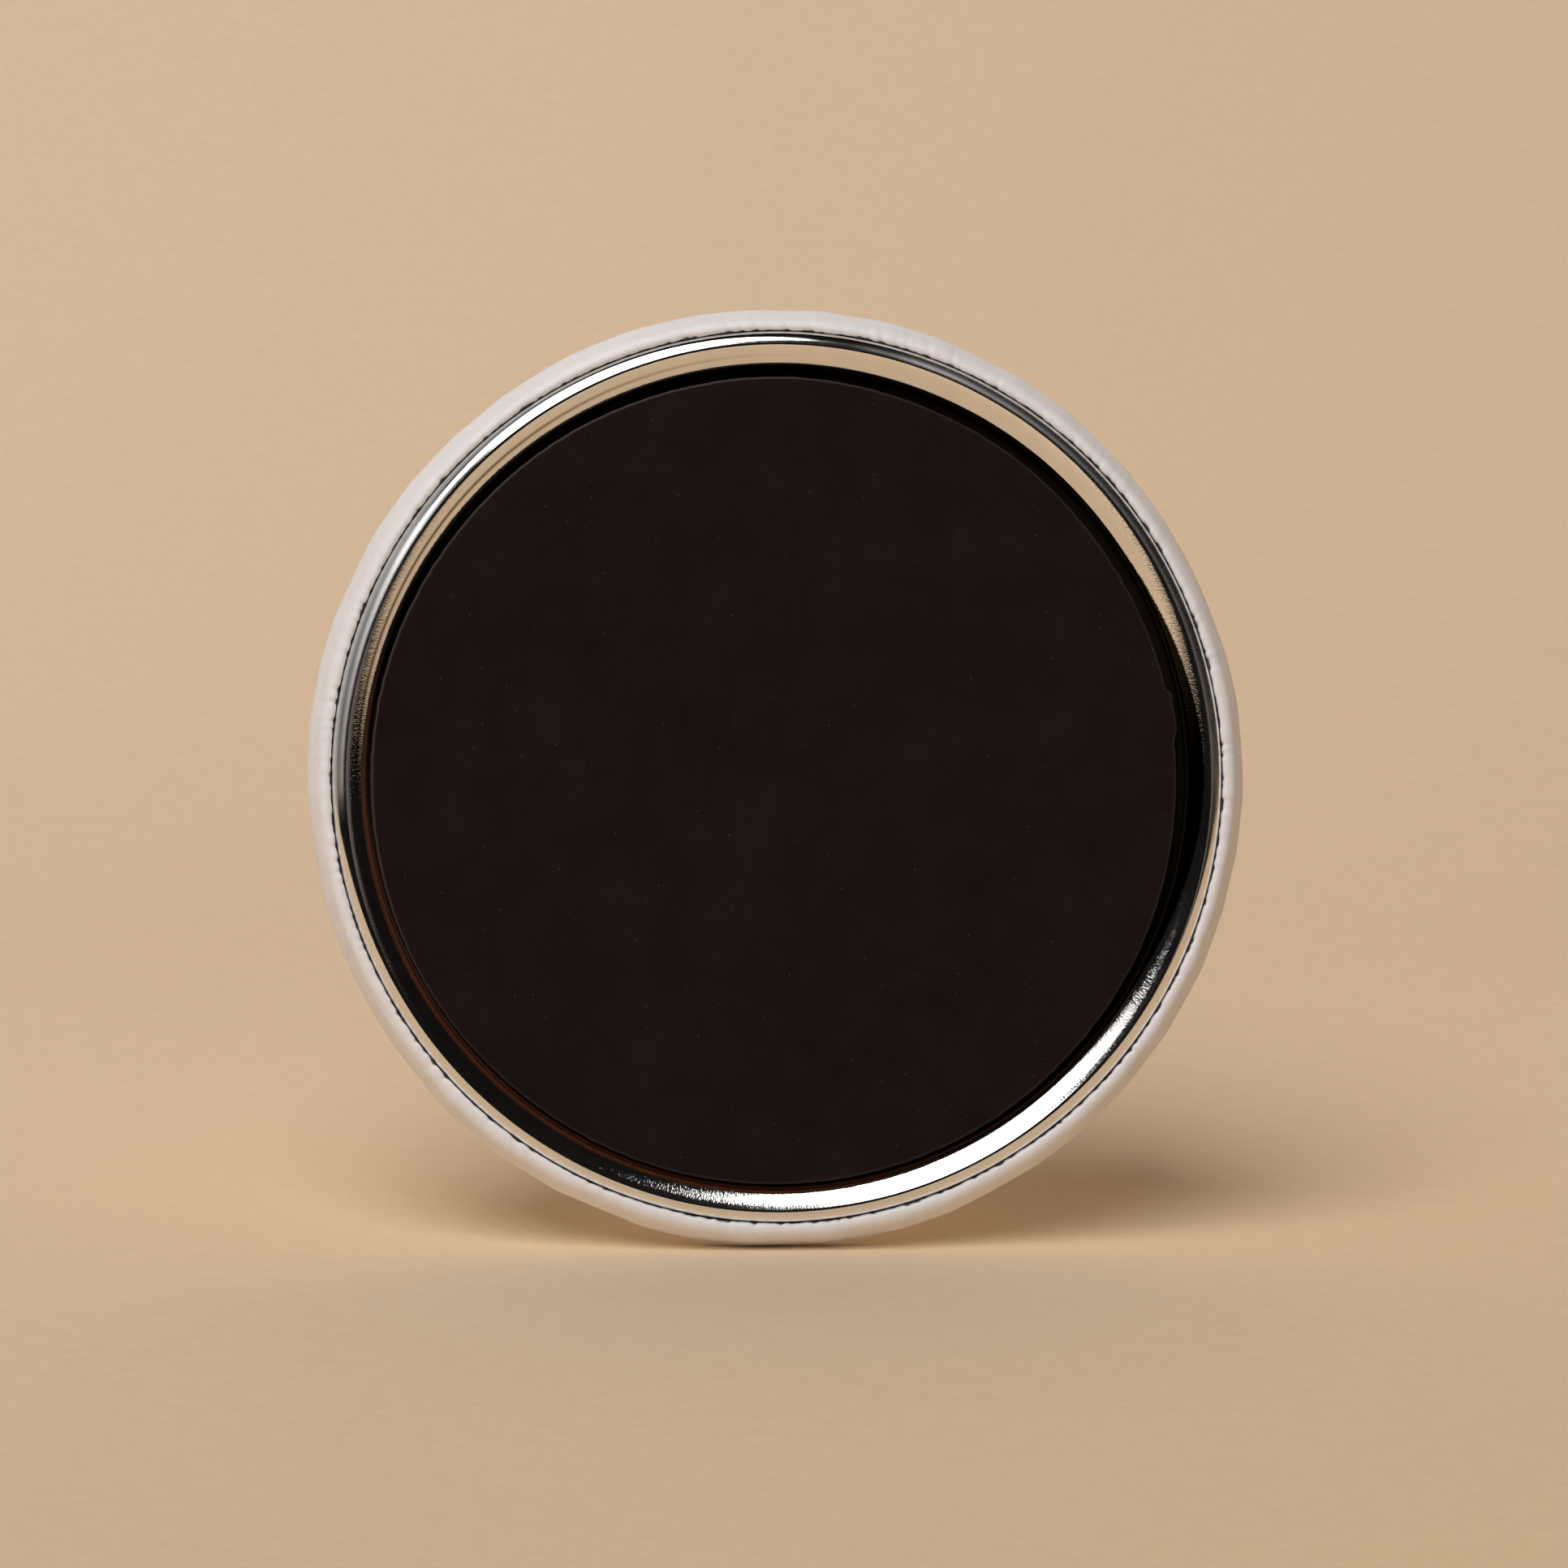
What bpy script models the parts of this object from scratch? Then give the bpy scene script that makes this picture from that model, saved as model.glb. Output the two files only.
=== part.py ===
"""Round button fridge magnet, standing on its edge.

A domed tinplate shell carries a paper face under clear film. Both sheets wrap
over the shell's turned edge and tuck in behind it, and that edge traps the
flange of a drawn tinplate back. A flexible magnet disc is stuck in the recess
of the back.

Metres, +Z up. The magnet's holding face is the plane y = 0 and looks along -Y,
the dome looks along +Y, and the origin is on the button's axis.
"""

import math

import bpy

MM = 0.001

# Shell and its two face sheets
BUTTON_DIAMETER = 58.0 * MM     # over the film
SHELL_THICKNESS = 0.2 * MM
PAPER_THICKNESS = 0.09 * MM
FILM_THICKNESS = 0.04 * MM
LAYER_GAP = 0.015 * MM          # between sheets that are pressed together
DOME_RADIUS = 260.0 * MM
SHOULDER_RADIUS = 1.4 * MM
SIDE_RUN = 1.1 * MM             # along the side, from the shoulder to the turned-in edge
SIDE_TAPER = math.radians(25.0)  # the side closes in towards the back
TURN_RADIUS = 0.42 * MM         # of the turned-in edge, at the middle of the shell

# Drawn back, bend radii on the inside of each bend
BACK_THICKNESS = 0.25 * MM
BEAD_OUTER_RADIUS = 0.5 * MM
BEAD_INNER_RADIUS = 2.47 * MM   # the long easy slope from the crest into the recess
CREST_SWEEP = math.radians(9.0)  # of the outer radius, carried over the crest
BEAD_INNER_SWEEP = math.radians(35.5)  # from the crest to the end of the slope
LIP_RADIUS = 0.1 * MM
FLOOR_FILLET = 0.15 * MM
SKIRT_HEIGHT = 0.05 * MM
FLANGE_BEND = 0.1 * MM
CRIMP_GAP = 0.05 * MM           # between the wrapped edge and the skirt of the back
FLANGE_GAP = 0.03 * MM          # between the wrapped edge and the flange of the back

# Magnet and its adhesive
MAGNET_THICKNESS = 1.5 * MM
MAGNET_EDGE_ROUND = 0.1 * MM
MAGNET_PROUD = 0.1 * MM         # of the bead, so that the magnet meets the door first
RECESS_CLEARANCE = 0.48 * MM    # round the magnet when it is centred
NEAR_GAP = 0.12 * MM            # left on the side where the magnet was set down
SET_ANGLE = math.radians(229.0)
ADHESIVE_THICKNESS = 0.1 * MM
ADHESIVE_INSET = 0.6 * MM
ADHESIVE_GAP = 0.02 * MM

# Facets
TURN_STEPS = 48
DOME_FACETS = 3
SHOULDER_FACETS = 4
EDGE_FACETS = 4
FOLD_FACETS = 4
BEND_FACETS = 2
BEAD_FACETS = 4
CREST_FACETS = 1
ROUND_FACETS = 2
MERGE_DISTANCE = 1e-7
SMOOTH_ANGLE = math.radians(35.0)

QUARTER = math.pi / 2

# Stack of sheets, measured from the middle of the shell
SHELL_FACE = SHELL_THICKNESS / 2
PAPER_INSIDE = SHELL_FACE + LAYER_GAP
PAPER_OUTSIDE = PAPER_INSIDE + PAPER_THICKNESS
FILM_INSIDE = PAPER_OUTSIDE + LAYER_GAP
FILM_OUTSIDE = FILM_INSIDE + FILM_THICKNESS

# Radii, from the outside in
SIDE_R = BUTTON_DIAMETER / 2 - FILM_OUTSIDE
SHOULDER_REACH = SHOULDER_RADIUS * (1 - math.cos(SIDE_TAPER))
SIDE_REACH = SIDE_RUN * math.sin(SIDE_TAPER)
SHELL_END_R = SIDE_R - SHOULDER_REACH - SIDE_REACH - TURN_RADIUS * math.cos(SIDE_TAPER)
SKIRT_R = SHELL_END_R - FILM_OUTSIDE - CRIMP_GAP
BEAD_RADIUS = BEAD_OUTER_RADIUS + BACK_THICKNESS
CREST_R = SKIRT_R - BEAD_RADIUS
SLOPE_RADIUS = BEAD_INNER_RADIUS + BACK_THICKNESS
LIP_FACE_RADIUS = LIP_RADIUS + BACK_THICKNESS
CREST_REACH = BEAD_RADIUS * math.sin(CREST_SWEEP)
SLOPE_REACH = SLOPE_RADIUS * (math.sin(BEAD_INNER_SWEEP) - math.sin(CREST_SWEEP))
LIP_REACH = LIP_FACE_RADIUS * (1 - math.sin(BEAD_INNER_SWEEP))
RECESS_R = CREST_R - CREST_REACH - SLOPE_REACH - LIP_REACH
MAGNET_R = RECESS_R - RECESS_CLEARANCE
ADHESIVE_R = MAGNET_R - ADHESIVE_INSET

# Levels, from the holding face towards the dome
CREST_Y = MAGNET_PROUD
ADHESIVE_Y = MAGNET_THICKNESS + ADHESIVE_GAP
FLOOR_Y = ADHESIVE_Y + ADHESIVE_THICKNESS + ADHESIVE_GAP
FLANGE_Y = CREST_Y + BEAD_RADIUS + SKIRT_HEIGHT + FLANGE_BEND
SHELL_END_Y = FLANGE_Y - FLANGE_GAP - FILM_OUTSIDE
SIDE_Y = SHELL_END_Y + TURN_RADIUS * (1 - math.sin(SIDE_TAPER)) + SIDE_RUN * math.cos(SIDE_TAPER)
SHOULDER_Y = SIDE_Y + SHOULDER_RADIUS * math.sin(SIDE_TAPER)

# The dome meets the shoulder at a tangent
DOME_SWEEP = math.asin((SIDE_R - SHOULDER_RADIUS) / (DOME_RADIUS - SHOULDER_RADIUS))
APEX_Y = SHOULDER_Y + DOME_RADIUS - (DOME_RADIUS - SHOULDER_RADIUS) * math.cos(DOME_SWEEP)

# The magnet lies off the axis, against one side of its recess
MAGNET_SHIFT = RECESS_CLEARANCE - NEAR_GAP
MAGNET_PLACE = (MAGNET_SHIFT * math.cos(SET_ANGLE), 0.0, MAGNET_SHIFT * math.sin(SET_ANGLE))


class SheetPath:
    """A line of straight runs and tangent bends in the (radius, y) half plane.

    Each sample keeps its place and the unit normal on the left of the heading,
    so that a face at any distance from the line is an exact offset of it.
    """

    def __init__(self, radius, y, heading):
        self.place = (radius, y)
        self.heading = heading
        self.samples = [self.sample()]

    def sample(self):
        normal = (-math.sin(self.heading), math.cos(self.heading))
        return self.place, normal

    def run(self, length):
        radius, y = self.place
        self.place = (radius + length * math.cos(self.heading), y + length * math.sin(self.heading))
        self.samples.append(self.sample())
        return self

    def bend(self, radius, turn, facets):
        """Turns left for a positive angle and right for a negative one."""
        signed = math.copysign(radius, turn)
        start = self.heading
        centre = (self.place[0] - signed * math.sin(start), self.place[1] + signed * math.cos(start))
        for step in range(1, facets + 1):
            self.heading = start + turn * step / facets
            self.place = (
                centre[0] + signed * math.sin(self.heading),
                centre[1] - signed * math.cos(self.heading),
            )
            self.samples.append(self.sample())
        return self


def offset(samples, distance):
    """Points at a distance to the left of the samples."""
    return [(r + distance * nr, y + distance * ny) for (r, y), (nr, ny) in samples]


def fold(sample, distance):
    """Inner points of the half circle round a sheet's end, from its left face to its right face."""
    (r, y), (nr, ny) = sample
    ahead = (ny, -nr)
    points = []
    for step in range(1, FOLD_FACETS):
        angle = math.pi * step / FOLD_FACETS
        side = distance * math.cos(angle)
        reach = distance * math.sin(angle)
        points.append((r + side * nr + reach * ahead[0], y + side * ny + reach * ahead[1]))
    return points


def shell_path():
    """Middle of the shell: dome, shoulder, tapered side and turned-in edge.

    Returns the samples and the number of the one where the side starts.
    """
    path = SheetPath(0.0, APEX_Y, 0.0)
    path.bend(DOME_RADIUS, -DOME_SWEEP, DOME_FACETS)
    path.bend(SHOULDER_RADIUS, DOME_SWEEP - QUARTER - SIDE_TAPER, SHOULDER_FACETS)
    side_start = len(path.samples) - 1
    path.run(SIDE_RUN)
    path.bend(TURN_RADIUS, SIDE_TAPER - QUARTER, EDGE_FACETS)
    return path.samples, side_start


def shell_profile():
    samples, _ = shell_path()
    return offset(samples, SHELL_FACE) + offset(samples, -SHELL_FACE)[::-1]


def wrapped_profile(inside, outside):
    """A sheet over the shell, folded round the shell's edge and tucked up inside its side."""
    samples, side_start = shell_path()
    tucked = samples[side_start:]
    end = samples[-1]
    outer = offset(samples, outside) + fold(end, outside) + offset(tucked, -outside)[::-1]
    inner = offset(samples, inside) + fold(end, inside) + offset(tucked, -inside)[::-1]
    return outer + inner[::-1]


def back_profile():
    """The back, drawn from the crest of its bead both ways: in to the axis and out to the flange's edge."""
    inward = SheetPath(CREST_R, CREST_Y, math.pi)
    inward.bend(BEAD_RADIUS, -CREST_SWEEP, CREST_FACETS)
    inward.bend(SLOPE_RADIUS, CREST_SWEEP - BEAD_INNER_SWEEP, BEAD_FACETS)
    inward.bend(LIP_FACE_RADIUS, BEAD_INNER_SWEEP - QUARTER, BEND_FACETS)
    inward.run(FLOOR_Y - FLOOR_FILLET - inward.place[1])
    inward.bend(FLOOR_FILLET, QUARTER, BEND_FACETS)
    inward.run(RECESS_R - FLOOR_FILLET)
    outward = SheetPath(CREST_R, CREST_Y, 0.0)
    outward.bend(BEAD_RADIUS, QUARTER, BEAD_FACETS)
    outward.run(SKIRT_HEIGHT)
    outward.bend(FLANGE_BEND, -QUARTER, BEND_FACETS)
    outward.run(SHELL_END_R - SKIRT_R - FLANGE_BEND)
    outer_half = outward.samples[1:]
    hidden = offset(inward.samples, -BACK_THICKNESS)[::-1] + offset(outer_half, BACK_THICKNESS)
    shown = offset(inward.samples, 0.0)[::-1] + offset(outer_half, 0.0)
    return hidden + shown[::-1]


def magnet_profile():
    """A disc with its holding edge a little rounded by the cutting die."""
    edge = SheetPath(MAGNET_R, MAGNET_EDGE_ROUND, -QUARTER)
    edge.bend(MAGNET_EDGE_ROUND, -QUARTER, ROUND_FACETS)
    top = [(0.0, MAGNET_THICKNESS), (MAGNET_R, MAGNET_THICKNESS)]
    return top + offset(edge.samples, 0.0) + [(0.0, 0.0)]


def finish(name, colour, roughness, metallic, transmission=0.0):
    """A plain Principled material."""
    material = bpy.data.materials.new(name)
    material.use_nodes = True
    shader = material.node_tree.nodes["Principled BSDF"]
    shader.inputs["Base Color"].default_value = (*colour, 1.0)
    shader.inputs["Roughness"].default_value = roughness
    shader.inputs["Metallic"].default_value = metallic
    shader.inputs["Transmission Weight"].default_value = transmission
    return material


def add_part(name, mesh, material, place=(0.0, 0.0, 0.0)):
    """A named object in the button's collection."""
    part = bpy.data.objects.new(name, mesh)
    part.location = place
    mesh.materials.append(material)
    parts.objects.link(part)
    return part


def turned(name, profile, material, place=(0.0, 0.0, 0.0)):
    """A profile of (radius, y) points, from the axis back to the axis, turned about Y."""
    mesh = bpy.data.meshes.new(name)
    points = [(radius, y, 0.0) for radius, y in profile]
    edges = [(i, i + 1) for i in range(len(points) - 1)]
    mesh.from_pydata(points, edges, [])
    part = add_part(name, mesh, material, place)
    screw = part.modifiers.new("turn", "SCREW")
    screw.axis = "Y"
    screw.angle = 2 * math.pi
    screw.steps = TURN_STEPS
    screw.render_steps = TURN_STEPS
    screw.use_merge_vertices = True
    screw.merge_threshold = MERGE_DISTANCE
    screw.use_smooth_shade = True
    return part


def disc(name, radius, low_y, thickness, material, place=(0.0, 0.0, 0.0)):
    """A flat disc across Y, made from the cylinder primitive."""
    x, _, z = place
    bpy.ops.mesh.primitive_cylinder_add(
        vertices=TURN_STEPS,
        radius=radius,
        depth=thickness,
        location=(x, low_y + thickness / 2, z),
        rotation=(QUARTER, 0.0, 0.0),
    )
    part = bpy.context.object
    part.name = name
    part.data.name = name
    part.data.materials.append(material)
    for collection in list(part.users_collection):
        collection.objects.unlink(part)
    parts.objects.link(part)
    part.data.shade_smooth()
    part.data.set_sharp_from_angle(angle=SMOOTH_ANGLE)
    return part


for old in list(bpy.data.objects):
    bpy.data.objects.remove(old, do_unlink=True)
parts = bpy.data.collections.new("button_fridge_magnet")
bpy.context.scene.collection.children.link(parts)

tinplate = finish("bright_tinplate", (0.72, 0.72, 0.70), 0.12, 1.0)
shell_tin = finish("shell_tinplate", (0.62, 0.62, 0.60), 0.25, 1.0)
paper = finish("white_paper", (0.84, 0.82, 0.79), 0.55, 0.0)
film = finish("clear_film", (0.97, 0.97, 0.97), 0.10, 0.0, 1.0)
glue = finish("pale_adhesive", (0.75, 0.70, 0.58), 0.45, 0.0)
ferrite = finish("ferrite_rubber", (0.011, 0.006, 0.005), 0.60, 0.0)

turned("front_shell", shell_profile(), shell_tin)
turned("face_paper", wrapped_profile(PAPER_INSIDE, PAPER_OUTSIDE), paper)
turned("clear_film", wrapped_profile(FILM_INSIDE, FILM_OUTSIDE), film)
turned("back_plate", back_profile(), tinplate)
disc("adhesive_disc", ADHESIVE_R, ADHESIVE_Y, ADHESIVE_THICKNESS, glue, MAGNET_PLACE)
turned("magnet_disc", magnet_profile(), ferrite, MAGNET_PLACE)
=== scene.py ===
import bpy
import numpy as np
from mathutils import Matrix, Vector


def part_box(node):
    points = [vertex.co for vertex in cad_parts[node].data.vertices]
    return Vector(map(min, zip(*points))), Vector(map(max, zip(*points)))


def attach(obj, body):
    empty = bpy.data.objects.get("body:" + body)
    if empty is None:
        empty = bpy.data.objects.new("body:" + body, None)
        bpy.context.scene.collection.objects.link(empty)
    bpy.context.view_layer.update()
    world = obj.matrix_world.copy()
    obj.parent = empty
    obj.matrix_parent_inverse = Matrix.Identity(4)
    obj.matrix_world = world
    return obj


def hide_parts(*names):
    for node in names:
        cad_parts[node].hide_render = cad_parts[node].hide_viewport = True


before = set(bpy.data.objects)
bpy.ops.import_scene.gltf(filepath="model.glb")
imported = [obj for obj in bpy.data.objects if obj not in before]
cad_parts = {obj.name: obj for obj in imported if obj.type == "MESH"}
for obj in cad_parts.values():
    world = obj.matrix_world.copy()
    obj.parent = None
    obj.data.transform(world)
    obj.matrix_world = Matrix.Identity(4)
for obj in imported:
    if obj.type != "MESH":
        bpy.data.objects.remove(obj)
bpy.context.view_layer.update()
mm = 0.001
fullTurn = 2 * np.pi
print("frame loaded:", len(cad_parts), "nodes")


# small helpers for node trees

def newMaterial(name):
    material = bpy.data.materials.new(name)
    material.use_nodes = True
    tree = material.node_tree
    return material, tree, tree.nodes["Principled BSDF"]


def addNode(tree, kind, inputs=None, **settings):
    made = tree.nodes.new(kind)
    for key, value in settings.items():
        setattr(made, key, value)
    for key, value in (inputs or {}).items():
        feed(tree, value, made.inputs[key])
    return made


def feed(tree, value, socket):
    if isinstance(value, bpy.types.NodeSocket):
        tree.links.new(value, socket)
    else:
        socket.default_value = value


def ramp(tree, factor, stops):
    made = addNode(tree, "ShaderNodeValToRGB", {"Fac": factor})
    bar = made.color_ramp
    while len(bar.elements) < len(stops):
        bar.elements.new(0.5)
    for element, (place, colour) in zip(bar.elements, stops):
        element.position = place
        element.color = (*colour, 1) if len(colour) == 3 else colour
    return made


def grey(level):
    return (level, level, level)


# small helpers for turned shapes

def arc(centre, radius, start, end, count):
    # centre plus radius times (cos, sin) of evenly spaced angles, with the outward normal of each point
    turn = np.radians(np.linspace(start, end, count))
    normal = np.stack([np.cos(turn), np.sin(turn)], 1)
    return np.asarray(centre) + radius * normal, normal


def run(first, last, normal, count):
    # evenly spaced points on the straight line from first to last, all with one normal
    share = np.linspace(0, 1, count)[:, None]
    return (1 - share) * np.asarray(first) + share * np.asarray(last), np.tile(normal, (count, 1))


def joinRuns(*runs):
    # one after the other, leaving out a point that repeats the one before it
    places = np.concatenate([r[0] for r in runs])
    normals = np.concatenate([r[1] for r in runs])
    step = np.linalg.norm(np.diff(places, axis=0), axis=1)
    keep = np.concatenate([[True], step > 1e-9])
    return places[keep], normals[keep]


def turnRound(radius, level, angles, centre=(0, 0)):
    # x = r cos a, y = level, z = r sin a, for radius and level on a grid of angle by profile point
    turn = angles[:, None]
    return np.stack([centre[0] + radius * np.cos(turn), level, centre[1] + radius * np.sin(turn)], 2)


def closedMesh(name, grid, firstPole, lastPole):
    # the grid wraps round its first axis, and its two ends close on one point each
    rounds, points = grid.shape[:2]
    count = rounds * points
    here = np.arange(rounds)[:, None] * points
    there = np.roll(here, -1, 0)
    along = np.arange(points - 1)[None]
    quads = np.stack([here + along, here + along + 1, there + along + 1, there + along], 2).reshape(-1, 4)
    fanOne = np.stack([np.full(rounds, count), here[:, 0], there[:, 0]], 1)
    fanTwo = np.stack([np.full(rounds, count + 1), there[:, 0] + points - 1, here[:, 0] + points - 1], 1)
    fans = np.concatenate([fanOne, fanTwo])
    spots = np.concatenate([grid.reshape(-1, 3), [firstPole, lastPole]])
    corners = spots[np.concatenate([quads[:, :3], quads[:, [0, 2, 3]], fans])]
    volume = np.einsum("ij,ij->i", corners[:, 0], np.cross(corners[:, 1], corners[:, 2])).sum()
    if volume < 0:
        quads, fans = quads[:, ::-1], fans[:, ::-1]
    loops = np.concatenate([quads.ravel(), fans.ravel()])
    sizes = np.concatenate([np.full(len(quads), 4), np.full(len(fans), 3)])
    mesh = bpy.data.meshes.new(name)
    mesh.vertices.add(len(spots))
    mesh.vertices.foreach_set("co", spots.astype(np.float32).ravel())
    mesh.loops.add(len(loops))
    mesh.loops.foreach_set("vertex_index", loops.astype(np.int32))
    mesh.polygons.add(len(sizes))
    mesh.polygons.foreach_set("loop_start", np.concatenate([[0], np.cumsum(sizes)[:-1]]).astype(np.int32))
    mesh.polygons.foreach_set("use_smooth", np.ones(len(sizes), bool))
    mesh.update(calc_edges=True)
    mesh.validate()
    piece = bpy.data.objects.new(name, mesh)
    bpy.context.scene.collection.objects.link(piece)
    return piece


def keepAttribute(piece, name, values):
    # one vector for each point of the mesh, which its material reads
    layer = piece.data.attributes.new(name, "FLOAT_VECTOR", "POINT")
    layer.data.foreach_set("vector", values.astype(np.float32).ravel())


def ripple(angles, low, high, draw):
    # sum of cosines of whole waves round the turn, each with its own height and phase
    waves = np.arange(low, high + 1)
    height = draw.normal(size=len(waves)) / np.sqrt(len(waves))
    phase = draw.uniform(0, fullTurn, len(waves))
    return (height * np.cos(angles[..., None] * waves + phase)).sum(-1)


def smoothstep(value, low, high):
    t = np.clip((value - low) / (high - low), 0, 1)
    return t * t * (3 - 2 * t)


# face paper and film, wrapped together over the turned edge

faceSkin = {
    "rounds": 1200,
    "domeRadius": 260 * mm,          # radii and run are at the middle of the shell
    "shoulderRadius": 1.4 * mm,
    "sideRun": 1.1 * mm,
    "sideTaper": 25,
    "turnRadius": 0.42 * mm,
    "rounder": {"sideRun": 1.027 * mm, "sideTaper": 18.9, "turnRadius": 0.60 * mm},  # edge where it was pressed less
    "rounderAngle": 262,
    "rounderSpan": (35, 75),         # degrees to either side over which it goes over
    "outside": 0.26 * mm,            # film face, out from the middle of the shell
    "inside": 0.115 * mm,            # paper back
    "tuckLength": 0.7 * mm,
    "pleats": 236,
    "pleatDepth": (0.008 * mm, 0.046 * mm),
    "pleatWidth": (0.08 * mm, 0.16 * mm),
    "foldDeeper": 1.8,               # pleats at the fold, against those on the turned edge
    "tipBack": (-0.02 * mm, 0.02 * mm),  # how far the fold's tip keeps off the bead, and how much that varies
    "flats": 43,                     # straight stretches in the outline, and how far their corners are softened
    "flatSoft": 30,
    "waviness": 0.010 * mm,
    "dipWidth": 9,                   # slack places in the outline, degrees round from the right
    "dips": {24: 0.15 * mm, 38: 0.09 * mm, 92: 0.08 * mm, 131: 0.07 * mm, 192: 0.08 * mm, 212: 0.16 * mm,
             246: 0.06 * mm, 305: 0.06 * mm, 325: 0.05 * mm, 346: 0.07 * mm},
    "seed": 58,
}


def pleatTable(p, draw, count):
    # notches at uneven places, each steep on one side and easy on the other, looked up by angle
    table = np.linspace(0, fullTurn, count, endpoint=False)
    n = p["pleats"]
    place = (np.arange(n) + draw.uniform(-0.36, 0.36, n)) * fullTurn / n
    depth = p["pleatDepth"][0] + (p["pleatDepth"][1] - p["pleatDepth"][0]) * draw.random(n) ** 1.6
    width = draw.uniform(*p["pleatWidth"], n)
    lean = draw.choice([-1, 1], n)
    away = (table[:, None] - place + np.pi) % fullTurn - np.pi
    away = away * p["radius"] / width
    easy = np.where(away * lean > 0, 2.2, 1.0)
    return (depth * np.exp(-(away / easy) ** 2)).sum(1)


def flatsTable(p, draw, count):
    # how far a chord between neighbouring corners lies inside the circle: R - R cos(half) / cos(away)
    table = np.linspace(0, fullTurn, count, endpoint=False)
    n = p["flats"]
    corner = np.sort((np.arange(n) + draw.uniform(-0.3, 0.3, n)) * fullTurn / n % fullTurn)
    part = np.searchsorted(corner, table) - 1
    after = corner[(part + 1) % n] + np.where(part + 1 >= n, fullTurn, 0)
    before = corner[part] - np.where(part < 0, fullTurn, 0)
    half = (after - before) / 2
    away = table - (after + before) / 2
    chord = p["radius"] * (1 - np.cos(half) / np.cos(away))
    chord = chord * draw.uniform(0.45, 1.0, n)[part]
    reach = p["flatSoft"]
    soft = np.hanning(2 * reach + 1) / np.hanning(2 * reach + 1).sum()
    return np.convolve(np.concatenate([chord[-reach:], chord, chord[:reach]]), soft, "valid")


def slack(p, angles):
    # bell-shaped dips round the outline, summed
    sunk = np.zeros_like(angles)
    for place, depth in p["dips"].items():
        away = (np.degrees(angles) - place + 180) % 360 - 180
        sunk += depth * np.exp(-(away / p["dipWidth"]) ** 2)
    return sunk


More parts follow.
